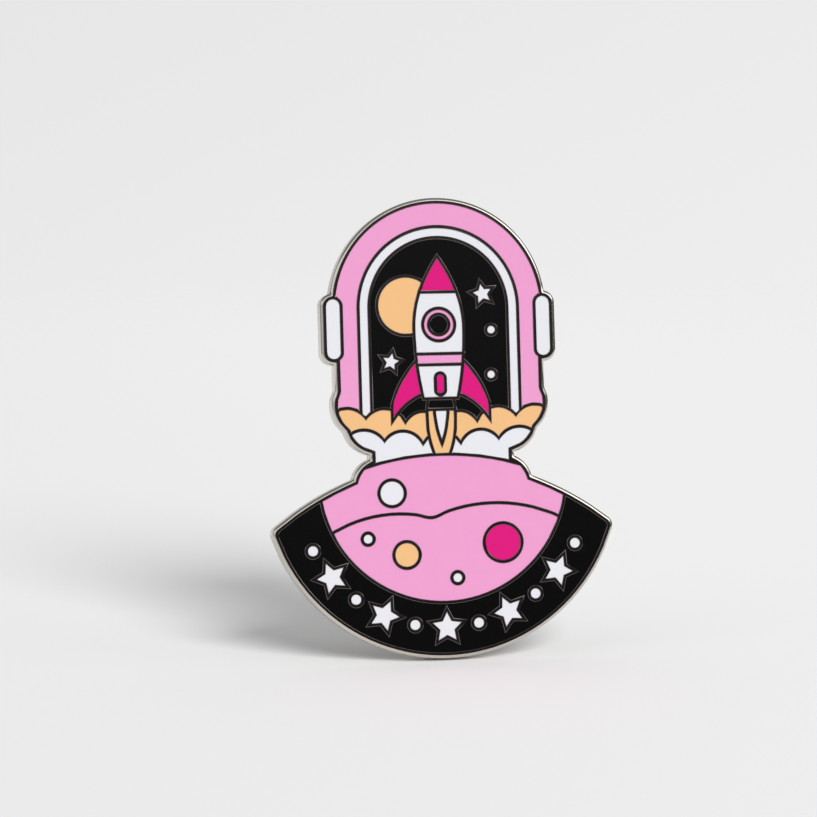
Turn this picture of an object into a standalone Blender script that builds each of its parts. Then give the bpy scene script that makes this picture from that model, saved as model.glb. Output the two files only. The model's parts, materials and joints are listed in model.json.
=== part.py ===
"""A hard-enamel pin.

A struck metal plate carries raised lines, with enamel set between them. Two pointed posts stand on its
back, and a butterfly clutch slides on each post and grips it with two sprung wing jaws.
"""

import math
from collections import namedtuple

import bmesh
import bpy
from mathutils import Vector

for old_object in list(bpy.data.objects):
    bpy.data.objects.remove(old_object, do_unlink=True)

# Sizes are in millimetres: x runs to the right, z up, and y from the front of the pin to its back
MM = 0.001

# Plate: its back is at y = 0, and z = 0 lies half-way up
PLATE_HEIGHT = 38.0
PLATE_THICKNESS = 1.7
EDGE_ROUND = 0.2
BACK_EDGE_ROUND = 0.1
RIM_WIDTH = 0.5
LINE_WIDTH = 0.29
POCKET_DEPTH = 0.6
ENAMEL_SINK = 0.05
FIT_GAP = 0.02
SMALLEST_CELL = 0.12
CORNER_LIMIT = 0.2

# Outline of the plate's right half, from the dome down to the band
DOME_RADIUS = 9.1
TAB_RADIUS = 1.05
TAB_HEIGHT = 5.9
TAB_RISE = 1.3
TAB_INSET = 0.2
STEP_TOP_HALF = 8.8
STEP_TOP_DROP = 6.65
STEP_HALF = 8.1
STEP_DROP = 10.1
STEP_SWELL = 0.6
WAIST_HALF = 6.07
WAIST_DROP = 12.05
WAIST_LENGTH = 0.3
WAIST_SWELL = 0.38
COLLAR_HALF = 7.5
COLLAR_DROP = 14.0
COLLAR_SWELL = 0.26
SHOULDER_SWELL = 0.28
TIP_LENGTH = 1.05
TIP_LEAN = 0.27
TIP_SWELL = 0.19
BAND_RADIUS = 15.0
BAND_WIDTH = 4.6
BAND_START = math.radians(18.7)

# Picture: an arch with a night sky, a rocket rising from clouds, and cratered ground
# Heights down to the horizon are measured from the dome's centre
ARCH_RADIUS = 6.7
ARCH_BAND = 0.9
SKY_FOOT = -11.6
ROCKET_TIP = 4.3
ROCKET_NOSE = 1.3
ROCKET_WIDEST = -1.7
ROCKET_STRIPE_TOP = -3.8
ROCKET_STRIPE_FOOT = -4.7
ROCKET_TAIL = -7.5
ROCKET_HALF = 2.1
ROCKET_TAIL_HALF = 1.45
PORTHOLE_HEIGHT = -1.4
PORTHOLE_RADIUS = 1.35
PORTHOLE_GLASS = 0.85
FIN_REACH = 4.1
FIN_TOP = -3.5
FIN_SHOULDER = -7.9
FIN_FOOT = -9.3
FIN_ROOT = -6.9
FIN_SWELL = 0.45
FIN_HOLLOW = 0.4
CENTRE_FIN_HALF = 0.42
CENTRE_FIN_TOP = -5.4
CENTRE_FIN_FOOT = -7.2
NOZZLE_HALF = 1.2
NOZZLE_FOOT = -8.4
FLAME_HALF = 1.05
FLAME_SWELL = 0.55
FLAME_FOOT = -13.5
CORE_HALF = 0.55
CORE_SWELL = 0.22
CORE_FOOT = -11.2
HORIZON = -12.1
HORIZON_HALF = 11.0
HORIZON_SWELL = 2.85
MOON = (-2.7, 0.2, 2.45)
RIGHT_SKY_STAR = (3.75, 1.1, 1.1)
LEFT_SKY_STAR = (-4.1, -4.4, 1.0)
SKY_STAR_TURN = 0.2
RIGHT_SKY_DOT = (4.4, -1.9, 0.45)
LOW_SKY_DOT = (4.3, -5.6, 0.45)
STAR_WAIST = 0.5
PEACH_CLOUD = [(-9.6, -9.2), (-6.3, -9.0), (-3.0, -9.4), (0, -9.4), (3.0, -9.4), (6.3, -9.0), (9.6, -9.2)]
WHITE_CLOUD = [(-8.4, -11.1), (-4.8, -10.9), (-1.6, -11.2), (1.6, -11.2), (4.8, -10.9), (8.4, -11.1)]
PUFF = 0.29

# Heights on the ground are measured from the band's centre
HILLS = [(-11.5, -6.0), (-1.0, -3.4), (11.5, -4.6)]
HILL_PUFF = 0.13
MAGENTA_CRATER = (4.9, -5.6, 1.6)
WHITE_CRATER = (-4.3, -1.3, 1.1)
PEACH_CRATER = (-3.2, -6.4, 1.1)
LEFT_SMALL_CRATER = (-6.4, -5.0, 0.5)
RIGHT_SMALL_CRATER = (1.0, -8.4, 0.5)
BAND_STARS = 5
BAND_STAR_RADIUS = 1.55
BAND_DOT_RADIUS = 0.55
BAND_SPREAD = math.radians(124)

# Posts
POST_SPACING = 18.0
POST_RADIUS = 0.55
POST_LENGTH = 8.0
POST_POINT = 1.0
POST_POINT_RADIUS = 0.08
POST_GROOVE_RADIUS = 0.42
POST_GROOVE_START = 6.1
POST_GROOVE_LENGTH = 0.5
POST_FOOT_RADIUS = 1.5
POST_FOOT_THICKNESS = 0.3
POST_FOOT_CHAMFER = 0.1
POST_FOOT_FILLET = 0.3

# Clutches
CLUTCH_STAND_OFF = 2.4
DISC_RADIUS = 5.75
DISC_THICKNESS = 0.45
DISC_RIM = 1.15
DISC_RIM_THICKNESS = 0.35
DISC_CORNER = 0.35
DISC_HOLE_GAP = 0.25
DISC_FLARE = 0.25
HOUSING_HALF_WIDTH = 3.3
HOUSING_HALF_HEIGHT = 2.2
HOUSING_DEPTH = 3.4
HOUSING_WALL = 0.35
HOUSING_CORNER = 0.7
HOUSING_CROWN = 0.35
HOUSING_FOOT = 0.9
HOUSING_FOOT_HALF = 2.0
JAW_THICKNESS = 0.3
JAW_HALF = 1.6
JAW_GAP = 0.05
JAW_END = 0.3
JAW_DROP = 0.7
HINGE_RISE = 1.75
WINDOW_GAP = 0.15
WINDOW_HEIGHT = 1.1
WING_BEND = 1.0
WING_REACH = 2.7
WING_RISE = 4.0
WING_SWELL = 0.35
WING_HALF = 2.7
WING_ROUND = 1.55
WING_TIP_HALF = 1.05

# Roundness of the facets, and distances that count as none
FACET_ERROR = 0.025
SMOOTH_ANGLE = 35
EDGE_SEGMENTS = 2
SHORTEST_STEP = 0.01
MERGE = 0.001
OVERSHOOT = 1.0
DISC_FACETS = 28
POST_FACETS = 16
WING_SECTIONS = 8

# Sizes that follow from those above
FRONT = -PLATE_THICKNESS
TOP = PLATE_HEIGHT / 2
FOOT = -PLATE_HEIGHT / 2
DOME_Z = TOP - DOME_RADIUS
DOME_END = math.asin(TAB_RISE / DOME_RADIUS)
TAB_X = DOME_RADIUS * math.cos(DOME_END) - TAB_INSET
TAB_START = math.acos(TAB_INSET / TAB_RADIUS)
TAB_TOP = TAB_RISE + TAB_RADIUS * (1 - math.sin(TAB_START))
BAND_Z = FOOT + BAND_RADIUS
HALF_LINE = LINE_WIDTH / 2
HINGE_X = HOUSING_HALF_WIDTH - HOUSING_WALL / 2
HOUSING_SEAT = DISC_THICKNESS + FIT_GAP
HINGE_Y = HOUSING_SEAT + HINGE_RISE

Layer = namedtuple("Layer", "names colour shape")


# Outlines in the plane of the plate, as lists of (x, z) points

def arc(x, z, radius, start, end):
    """Points along a circle's arc, both ends included."""
    facet = 2 * math.acos(1 - min(1, FACET_ERROR / radius))
    steps = math.ceil(abs(end - start) / facet)
    angles = [start + (end - start) * i / steps for i in range(steps + 1)]
    return [(x + radius * math.cos(a), z + radius * math.sin(a)) for a in angles]


def bent(start, end, swell):
    """Points of an arc from start to end, whose middle stands to the left of the straight way by swell."""
    a, b = Vector(start), Vector(end)
    half = (b - a).length / 2
    left = Vector((a.y - b.y, b.x - a.x)).normalized()
    radius = (half * half + swell * swell) / (2 * abs(swell))
    centre = (a + b) / 2 + left * (swell - math.copysign(radius, swell))
    first = math.atan2(*(a - centre).yx)
    turn = -math.copysign(2 * math.asin(min(1.0, half / radius)), swell)
    return arc(centre.x, centre.y, radius, first, first + turn)


def circle(x, z, radius):
    return arc(x, z, radius, 0, 2 * math.pi)[:-1]


def star(x, z, radius, turn=0.0):
    """A five-pointed star, with one point up before it is turned."""
    reach = [radius * (STAR_WAIST if i % 2 else 1) for i in range(10)]
    angles = [turn + math.pi / 2 + i * math.pi / 5 for i in range(10)]
    return [(x + r * math.cos(a), z + r * math.sin(a)) for r, a in zip(reach, angles)]


def stadium(x, z, half_width, half_height):
    """An upright bar with round ends."""
    straight = half_height - half_width
    top = arc(x, z + straight, half_width, 0, math.pi)
    return top + arc(x, z - straight, half_width, math.pi, 2 * math.pi)


def box(left, right, foot, top):
    return [(left, foot), (right, foot), (right, top), (left, top)]


def mirrored(points):
    return [(-x, z) for x, z in reversed(points)]


def arched(radius):
    """A round-headed opening, concentric with the dome."""
    head = arc(0, 0, radius, 0, math.pi)
    return head + [(-radius, SKY_FOOT), (radius, SKY_FOOT)]


def rocket_half(z):
    """The rocket's half-width: a pointed nose above its widest place, a gentle taper below it."""
    if z > ROCKET_WIDEST:
        share = (z - ROCKET_WIDEST) / (ROCKET_TIP - ROCKET_WIDEST)
        return ROCKET_HALF * (1 - share ** 2)
    share = (ROCKET_WIDEST - z) / (ROCKET_WIDEST - ROCKET_TAIL)
    return ROCKET_HALF - (ROCKET_HALF - ROCKET_TAIL_HALF) * share ** 2


def rocket_below(top):
    """The rocket's outline from a given height down to its tail."""
    steps = math.ceil((top - ROCKET_TAIL) / ROCKET_HALF) * 2
    heights = [ROCKET_TAIL + (top - ROCKET_TAIL) * i / steps for i in range(steps + 1)]
    side = [(rocket_half(z), z) for z in heights]
    return side + mirrored(side)


def fin():
    """The right-hand fin, whose root lies behind the body."""
    leading = bent((rocket_half(FIN_TOP) / 2, FIN_TOP), (FIN_REACH, FIN_SHOULDER), FIN_SWELL)
    trailing = bent((FIN_REACH, FIN_FOOT), (rocket_half(FIN_ROOT) / 2, FIN_ROOT), -FIN_HOLLOW)
    return leading + trailing


def flame(half, swell, foot):
    """A tongue of fire that hangs from the nozzle."""
    right = bent((half, ROCKET_TAIL), (0, foot), swell)
    return right + mirrored(right)


def puffs(cusps, puff, foot):
    """A bank of cloud or hills: cusps are the hollows, and puff is each swell's share of its span."""
    top = []
    for start, end in zip(cusps, cusps[1:]):
        top += bent(start, end, puff * math.dist(start, end))
    return top + [(cusps[-1][0], foot), (cusps[0][0], foot)]


def tab(x):
    """The enamel of a side tab, up to the middle of the line round it."""
    inset = RIM_WIDTH - HALF_LINE
    return stadium(x, TAB_TOP - TAB_HEIGHT / 2, TAB_RADIUS - inset, TAB_HEIGHT / 2 - inset)


def plate_outline():
    """The whole outline of the plate: the right half, drawn downwards, and its mirror image."""
    waist_top = DOME_Z - WAIST_DROP
    tab_head = DOME_Z + TAB_TOP - TAB_RADIUS
    tab_foot = DOME_Z + TAB_TOP - TAB_HEIGHT + TAB_RADIUS
    step_top = (STEP_TOP_HALF, DOME_Z - STEP_TOP_DROP)
    step_foot = (STEP_HALF, DOME_Z - STEP_DROP)
    collar = (COLLAR_HALF, DOME_Z - COLLAR_DROP)
    band_start = (BAND_RADIUS * math.cos(BAND_START), BAND_Z - BAND_RADIUS * math.sin(BAND_START))
    shoulder = (band_start[0] - TIP_LEAN, band_start[1] + TIP_LENGTH)

    edge = arc(0, DOME_Z, DOME_RADIUS, math.pi / 2, DOME_END)
    edge += arc(TAB_X, tab_head, TAB_RADIUS, TAB_START, 0)
    edge += arc(TAB_X, tab_foot, TAB_RADIUS, 0, -math.pi / 2)
    edge += bent(step_top, step_foot, STEP_SWELL)
    edge += bent(step_foot, (WAIST_HALF, waist_top), WAIST_SWELL)
    edge += bent((WAIST_HALF, waist_top - WAIST_LENGTH), collar, COLLAR_SWELL)
    edge += bent(collar, shoulder, SHOULDER_SWELL)
    edge += bent(shoulder, band_start, TIP_SWELL)
    edge += arc(0, BAND_Z, BAND_RADIUS, -BAND_START, -math.pi / 2)
    return without_repeats(edge + mirrored(edge))


def without_repeats(points):
    """The outline without points that fall on the one before."""
    kept = []
    for point in points:
        if not kept or math.dist(point, kept[-1]) > SHORTEST_STEP:
            kept.append(point)
    if math.dist(kept[0], kept[-1]) < SHORTEST_STEP:
        kept.pop()
    return kept


def off_side(place, start, end):
    """How far a place lies from the straight side between two points."""
    along = end - start
    share = (place - start).dot(along) / along.length_squared
    return (place - start - along * min(1, max(0, share))).length


def offset(points, distance):
    """The outline moved outwards by a distance, or inwards where it is negative, with its corners kept.

    Where a curve is tighter than the distance, the points that would cross over it are left out.
    """
    points = [Vector(p) for p in without_repeats(points)]
    area = sum(a.x * b.y - b.x * a.y for a, b in zip(points, points[1:] + points[:1]))
    if area < 0:
        points.reverse()
    sides = list(zip(points, points[1:] + points[:1]))
    moved = []
    for before, here, after in zip(points[-1:] + points[:-1], points, points[1:] + points[:1]):
        one, two = (here - before).normalized(), (after - here).normalized()
        out_one, out_two = Vector((one.y, -one.x)), Vector((two.y, -two.x))
        reach = 1 + out_one.dot(out_two)
        limited = max(reach, CORNER_LIMIT)
        place = here + (out_one + out_two) * (distance / limited)
        least = abs(distance) * reach / limited - MERGE
        if all(off_side(place, *side) >= least for side in sides):
            moved.append(tuple(place))
    return moved


# Picture, listed from the back to the front: each shape covers those before it

def sky_layers():
    """The upper picture, with heights from the dome's centre."""
    wide = BAND_RADIUS + RIM_WIDTH
    cloud_foot = HORIZON - 2 * HORIZON_SWELL
    nozzle = [(-NOZZLE_HALF, NOZZLE_FOOT), (NOZZLE_HALF, NOZZLE_FOOT),
              (ROCKET_TAIL_HALF / 2, ROCKET_STRIPE_FOOT), (-ROCKET_TAIL_HALF / 2, ROCKET_STRIPE_FOOT)]
    centre_fin = stadium(0, (CENTRE_FIN_TOP + CENTRE_FIN_FOOT) / 2, CENTRE_FIN_HALF,
                         (CENTRE_FIN_TOP - CENTRE_FIN_FOOT) / 2)
    return [
        Layer(["dome_border_enamel"], "pink", box(-wide, wide, SKY_FOOT, DOME_RADIUS + RIM_WIDTH)),
        Layer(["arch_enamel"], "white", arched(ARCH_RADIUS)),
        Layer(["sky_low_left_enamel", "sky_enamel", "sky_low_right_enamel"], "black",
              arched(ARCH_RADIUS - ARCH_BAND)),
        Layer(["moon_enamel"], "peach", circle(*MOON)),
        Layer(["sky_star_right_enamel"], "white", star(*RIGHT_SKY_STAR, SKY_STAR_TURN)),
        Layer(["sky_star_left_enamel"], "white", star(*LEFT_SKY_STAR, -SKY_STAR_TURN)),
        Layer(["sky_dot_right_enamel"], "white", circle(*RIGHT_SKY_DOT)),
        Layer(["sky_dot_low_enamel"], "white", circle(*LOW_SKY_DOT)),
        Layer(["cloud_peach_left_enamel", "cloud_peach_right_enamel"], "peach",
              puffs(PEACH_CLOUD, PUFF, cloud_foot)),
        Layer(["cloud_white_left_enamel", "cloud_white_right_enamel"], "white",
              puffs(WHITE_CLOUD, PUFF, cloud_foot - RIM_WIDTH)),
        Layer(["fin_right_enamel"], "magenta", fin()),
        Layer(["fin_left_enamel"], "magenta", mirrored(fin())),
        Layer(["flame_enamel"], "peach", flame(FLAME_HALF, FLAME_SWELL, FLAME_FOOT)),
        Layer(["flame_core_enamel"], "white", flame(CORE_HALF, CORE_SWELL, CORE_FOOT)),
        Layer(["nozzle_enamel"], "black", nozzle),
        Layer(["rocket_nose_enamel"], "magenta", rocket_below(ROCKET_TIP)),
        Layer(["rocket_body_enamel"], "white", rocket_below(ROCKET_NOSE)),
        Layer(["rocket_stripe_enamel"], "pink", rocket_below(ROCKET_STRIPE_TOP)),
        Layer(["rocket_tail_enamel"], "white", rocket_below(ROCKET_STRIPE_FOOT)),
        Layer(["porthole_ring_enamel"], "pink", circle(0, PORTHOLE_HEIGHT, PORTHOLE_RADIUS)),
        Layer(["porthole_glass_enamel"], "black", circle(0, PORTHOLE_HEIGHT, PORTHOLE_GLASS)),
        Layer(["centre_fin_enamel"], "magenta", centre_fin),
        Layer(["ground_far_enamel"], "pink",
              puffs([(-HORIZON_HALF, HORIZON - HORIZON_SWELL), (HORIZON_HALF, HORIZON - HORIZON_SWELL)],
                    HORIZON_SWELL / (2 * HORIZON_HALF), FOOT - DOME_Z)),
        Layer(["tab_right_enamel"], "white", tab(TAB_X)),
        Layer(["tab_left_enamel"], "white", tab(-TAB_X)),
    ]


def ground_layers():
    """The lower picture, with heights from the band's centre."""
    band_inner = BAND_RADIUS - BAND_WIDTH
    layers = [
        Layer(["ground_near_enamel"], "pink", puffs(HILLS, HILL_PUFF, -BAND_RADIUS)),
        Layer(["crater_magenta_enamel"], "magenta", circle(*MAGENTA_CRATER)),
        Layer(["crater_white_enamel"], "white", circle(*WHITE_CRATER)),
        Layer(["crater_peach_enamel"], "peach", circle(*PEACH_CRATER)),
        Layer(["crater_small_left_enamel"], "white", circle(*LEFT_SMALL_CRATER)),
        Layer(["crater_small_right_enamel"], "white", circle(*RIGHT_SMALL_CRATER)),
        Layer(["band_enamel"], "black",
              arc(0, 0, BAND_RADIUS + RIM_WIDTH, -math.pi, 0) + arc(0, 0, band_inner, 0, -math.pi)),
    ]
    middle = (band_inner + BAND_RADIUS - RIM_WIDTH) / 2
    for i in range(2 * BAND_STARS + 1):
        angle = BAND_SPREAD * (i / (2 * BAND_STARS) - 0.5)
        x, z = middle * math.sin(angle), -middle * math.cos(angle)
        number = i // 2 + 1
        if i % 2:
            name, shape = f"band_star_{number}_enamel", star(x, z, BAND_STAR_RADIUS, angle)
        else:
            name, shape = f"band_dot_{number}_enamel", circle(x, z, BAND_DOT_RADIUS)
        layers.append(Layer([name], "white", shape))
    return layers


def picture():
    """Every layer, at its height on the plate."""
    placed = []
    for layers, height in ((sky_layers(), DOME_Z), (ground_layers(), BAND_Z)):
        for layer in layers:
            placed.append(layer._replace(shape=[(x, z + height) for x, z in layer.shape]))
    return placed


# Finishes

COLOURS = {
    "pink": (0.88, 0.38, 0.66),
    "white": (0.86, 0.86, 0.88),
    "black": (0.005, 0.005, 0.006),
    "peach": (0.94, 0.58, 0.26),
    "magenta": (0.76, 0.012, 0.22),
}


def finish(name, colour, metallic, roughness):
    material = bpy.data.materials.new(name)
    material.use_nodes = True
    shader = material.node_tree.nodes["Principled BSDF"]
    shader.inputs["Base Color"].default_value = (*colour, 1)
    shader.inputs["Metallic"].default_value = metallic
    shader.inputs["Roughness"].default_value = roughness
    return material


BLACK_NICKEL = finish("black_nickel", (0.07, 0.06, 0.06), 1, 0.2)
NICKEL = finish("nickel", (0.6, 0.58, 0.54), 1, 0.25)
SPRING_STEEL = finish("spring_steel", (0.55, 0.54, 0.52), 1, 0.3)
ENAMEL = {name: finish(name + "_enamel", colour, 0, 0.1) for name, colour in COLOURS.items()}


# Solids

def added(name, solid, material=None):
    """An object made of a bmesh, linked to the scene."""
    mesh = bpy.data.meshes.new(name)
    solid.to_mesh(mesh)
    solid.free()
    if material:
        mesh.materials.append(material)
        mesh.shade_smooth()
        mesh.set_sharp_from_angle(angle=math.radians(SMOOTH_ANGLE))
    item = bpy.data.objects.new(name, mesh)
    bpy.context.scene.collection.objects.link(item)
    return item


def prism(points, near, far):
    """A bmesh of an outline in the plane of the plate, extruded from y = near to y = far."""
    solid = bmesh.new()
    face = solid.faces.new([solid.verts.new((x * MM, near * MM, z * MM)) for x, z in points])
    swept = bmesh.ops.extrude_face_region(solid, geom=[face])
    moved = [v for v in swept["geom"] if isinstance(v, bmesh.types.BMVert)]
    bmesh.ops.translate(solid, verts=moved, vec=(0, (far - near) * MM, 0))
    bmesh.ops.recalc_face_normals(solid, faces=solid.faces)
    return solid


def turned(profile, facets):
    """A bmesh of a closed profile of (radius, y) points, spun round the y axis."""
    solid = bmesh.new()
    ring = [solid.verts.new((r * MM, y * MM, 0)) for r, y in profile]
    edges = [solid.edges.new((a, b)) for a, b in zip(ring, ring[1:] + ring[:1])]
    bmesh.ops.spin(solid, geom=ring + edges, cent=(0, 0, 0), axis=(0, 1, 0), angle=2 * math.pi,
                   steps=facets, use_merge=True)
    bmesh.ops.remove_doubles(solid, verts=solid.verts, dist=MERGE * MM)
    bmesh.ops.recalc_face_normals(solid, faces=solid.faces)
    return solid


def carve(item, operation, tools):
    """Adds a Boolean of these tools to an object."""
    group = bpy.data.collections.new(item.name + "_" + operation.lower())
    for tool in tools:
        tool.hide_render = True
        tool.display_type = "WIRE"
        group.objects.link(tool)
    modifier = item.modifiers.new(operation.lower(), "BOOLEAN")
    modifier.operation = operation
    modifier.solver = "EXACT"
    modifier.operand_type = "COLLECTION"
    modifier.collection = group


def baked(item):
    """The object's mesh with its modifiers applied and its loose ends tidied."""
    graph = bpy.context.evaluated_depsgraph_get()
    solid = bmesh.new()
    solid.from_mesh(bpy.data.meshes.new_from_object(item.evaluated_get(graph)))
    bmesh.ops.remove_doubles(solid, verts=solid.verts, dist=MERGE * MM)
    bmesh.ops.dissolve_degenerate(solid, edges=solid.edges, dist=MERGE * MM)
    return solid


def islands(solid):
    """The separate bodies of a bmesh, from left to right, without those too small to hold enamel."""
    solid.faces.ensure_lookup_table()
    waiting = set(range(len(solid.faces)))
    bodies = []
    while waiting:
        found = {waiting.pop()}
        to_search = list(found)
        while to_search:
            face = solid.faces[to_search.pop()]
            beside = {f.index for e in face.edges for f in e.link_faces} - found
            found |= beside
            to_search += beside
        waiting -= found
        body = solid.copy()
        others = [f for f in body.faces if f.index not in found]
        bmesh.ops.delete(body, geom=others, context="FACES")
        depth = max(v.co.y for v in body.verts) - min(v.co.y for v in body.verts)
        if body.calc_volume() / depth > SMALLEST_CELL * MM * MM:
            bodies.append(body)
    return sorted(bodies, key=lambda body: sum(v.co.x for v in body.verts) / len(body.verts))


def reach_of(points):
    xs, zs = zip(*points)
    return min(xs), max(xs), min(zs), max(zs)


def overlap(one, two):
    a, b = reach_of(one), reach_of(two)
    return a[0] < b[1] and b[0] < a[1] and a[2] < b[3] and b[2] < a[3]


def fills(layers, gap, near, far):
    """The cells of each layer: its shape less half a line, within the rim and behind the shapes in front."""
    above, below = near - OVERSHOOT, far + OVERSHOOT
    field = added("field", prism(offset(plate_outline(), -RIM_WIDTH - gap), above, below))
    covers = []
    for layer in layers:
        covers.append(added("cover", prism(offset(layer.shape, HALF_LINE + gap), above, below)))
    items = []
    for i, layer in enumerate(layers):
        item = added("fill", prism(offset(layer.shape, -HALF_LINE - gap), near, far))
        carve(item, "INTERSECT", [field])
        later = zip(covers[i + 1:], layers[i + 1:])
        in_front = [cover for cover, other in later if overlap(layer.shape, other.shape)]
        if in_front:
            carve(item, "DIFFERENCE", in_front)
        items.append(item)
    solids = [islands(baked(item)) for item in items]
    for item in items + covers + [field]:
        bpy.data.objects.remove(item, do_unlink=True)
    return solids


def make_plate(layers):
    """The struck plate: rounded front edge, flat back, and a recess for each piece of enamel."""
    solid = prism(plate_outline(), FRONT, 0)
    flat_ends = {face: face.calc_center_median().y for face in solid.faces if abs(face.normal.y) > 0.5}
    front = min(flat_ends, key=flat_ends.get)
    back = max(flat_ends, key=flat_ends.get)
    front_edges, back_edges = list(front.edges), list(back.edges)
    for edges, size, segments in ((front_edges, EDGE_ROUND, EDGE_SEGMENTS), (back_edges, BACK_EDGE_ROUND, 1)):
        bmesh.ops.bevel(solid, geom=edges, offset=size * MM, affect="EDGES", segments=segments, profile=0.5,
                        material=-1, clamp_overlap=True)
    plate = added("base_plate", solid)
    tools = []
    for bodies in fills(layers, 0, FRONT - OVERSHOOT, FRONT + POCKET_DEPTH):
        tools += [added("pocket", body) for body in bodies]
    carve(plate, "DIFFERENCE", tools)
    struck = baked(plate)
    split_back(struck)
    for item in tools + [plate]:
        bpy.data.objects.remove(item, do_unlink=True)
    added("base_plate", struck, BLACK_NICKEL)


def split_back(solid):
    """Cuts the flat back into three, so that the part between the clutches is a flat of its own."""
    for side in (-1, 1):
        height = side * (POST_SPACING / 2 - DISC_RADIUS) * MM
        back = [f for f in solid.faces if abs(f.calc_center_median().y) < MERGE * MM]
        touched = {v for f in back for v in f.verts} | {e for f in back for e in f.edges} | set(back)
        bmesh.ops.bisect_plane(solid, geom=list(touched), dist=MERGE * MM, plane_co=(0, 0, height),
                               plane_no=(0, 0, 1))


def make_enamel(layers):
    """The enamel pieces, each set into its recess a little below the tops of the lines."""
    top, floor = FRONT + ENAMEL_SINK, FRONT + POCKET_DEPTH - FIT_GAP
    for layer, bodies in zip(layers, fills(layers, FIT_GAP, top, floor)):
        for i, body in enumerate(bodies):
            name = layer.names[i] if i < len(layer.names) else f"{layer.names[-1]}_{i}"
            added(name, body, ENAMEL[layer.colour])


def make_post(name, z):
    """A pointed wire post with a soldered foot and a groove near its point."""
    shoulder = POST_LENGTH - POST_POINT
    groove_end = POST_GROOVE_START + POST_GROOVE_LENGTH
    slope = POST_RADIUS - POST_GROOVE_RADIUS
    foot_top = FIT_GAP + POST_FOOT_THICKNESS
    fillet = arc(POST_RADIUS + POST_FOOT_FILLET, foot_top + POST_FOOT_FILLET, POST_FOOT_FILLET,
                 -math.pi / 2, -math.pi)
    profile = [
        (0, FIT_GAP),
        (POST_FOOT_RADIUS, FIT_GAP),
        (POST_FOOT_RADIUS, foot_top - POST_FOOT_CHAMFER),
        (POST_FOOT_RADIUS - POST_FOOT_CHAMFER, foot_top),
        *fillet,
        (POST_RADIUS, POST_GROOVE_START),
        (POST_GROOVE_RADIUS, POST_GROOVE_START + slope),
        (POST_GROOVE_RADIUS, groove_end - slope),
        (POST_RADIUS, groove_end),
        (POST_RADIUS, shoulder),
        (POST_POINT_RADIUS, POST_LENGTH - POST_POINT_RADIUS),
        (0, POST_LENGTH),
    ]
    post = added(name, turned(profile, POST_FACETS), NICKEL)
    post.location = (0, 0, z * MM)


def make_disc(name, clutch):
    """The clutch's base disc: a flared hole for the post and a turned-up rim."""
    hole = POST_RADIUS + DISC_HOLE_GAP
    inner = DISC_RADIUS - DISC_RIM_THICKNESS
    lip = DISC_RIM_THICKNESS / 2
    profile = [
        (hole, DISC_FLARE),
        (hole + DISC_FLARE, 0),
        *arc(DISC_RADIUS - DISC_CORNER, DISC_CORNER, DISC_CORNER, -math.pi / 2, 0),
        *arc(DISC_RADIUS - lip, DISC_RIM - lip, lip, 0, math.pi),
        *arc(inner - lip, DISC_THICKNESS + lip, lip, 0, -math.pi / 2),
        (hole, DISC_THICKNESS),
    ]
    disc = added(name, turned(profile, DISC_FACETS), NICKEL)
    disc.parent = clutch


def rounded_box(half_width, half_height, corner):
    """A rectangle with round corners, centred on the post."""
    x, z = half_width - corner, half_height - corner
    places = [(x, z, 0), (-x, z, 1), (-x, -z, 2), (x, -z, 3)]
    points = []
    for cx, cz, quarter in places:
        points += arc(cx, cz, corner, quarter * math.pi / 2, (quarter + 1) * math.pi / 2)
    return points


def make_housing(name, clutch):
    """The clutch's housing: a cap on the disc, open at its sides for the wings and on top for the post."""
    roof = HOUSING_SEAT + HOUSING_DEPTH
    cap = prism(rounded_box(HOUSING_HALF_WIDTH, HOUSING_HALF_HEIGHT, HOUSING_CORNER), HOUSING_SEAT, roof)
    crown = [f for f in cap.faces if f.normal.y > 0.5]
    bmesh.ops.bevel(cap, geom=list(crown[0].edges), offset=HOUSING_CROWN * MM, affect="EDGES",
                    segments=EDGE_SEGMENTS, profile=0.5, material=-1)
    cap = added(name, cap)
    foot_half_height = HOUSING_HALF_HEIGHT + HOUSING_FOOT
    foot = added("foot", prism(rounded_box(HOUSING_FOOT_HALF, foot_half_height, HOUSING_CORNER),
                               HOUSING_SEAT, HOUSING_SEAT + HOUSING_WALL))
    sill = HINGE_Y - JAW_THICKNESS / 2 - WINDOW_GAP
    window_half = JAW_HALF + WINDOW_GAP
    window_reach = HOUSING_HALF_WIDTH + OVERSHOOT
    inside = rounded_box(HOUSING_HALF_WIDTH - HOUSING_WALL, HOUSING_HALF_HEIGHT - HOUSING_WALL,
                         HOUSING_CORNER - HOUSING_WALL / 2)
    cavity = added("cavity", prism(inside, 0, roof - HOUSING_WALL))
    window = added("window", prism(box(-window_reach, window_reach, -window_half, window_half),
                                   sill, sill + WINDOW_HEIGHT))
    bore = added("bore", prism(circle(0, 0, POST_RADIUS + DISC_HOLE_GAP), 0, roof + OVERSHOOT))
    carve(cap, "UNION", [foot])
    carve(cap, "DIFFERENCE", [cavity, window, bore])
    finished = baked(cap)
    for item in (cap, foot, cavity, window, bore):
        bpy.data.objects.remove(item, do_unlink=True)
    housing = added(name, finished, NICKEL)
    housing.parent = clutch


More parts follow.
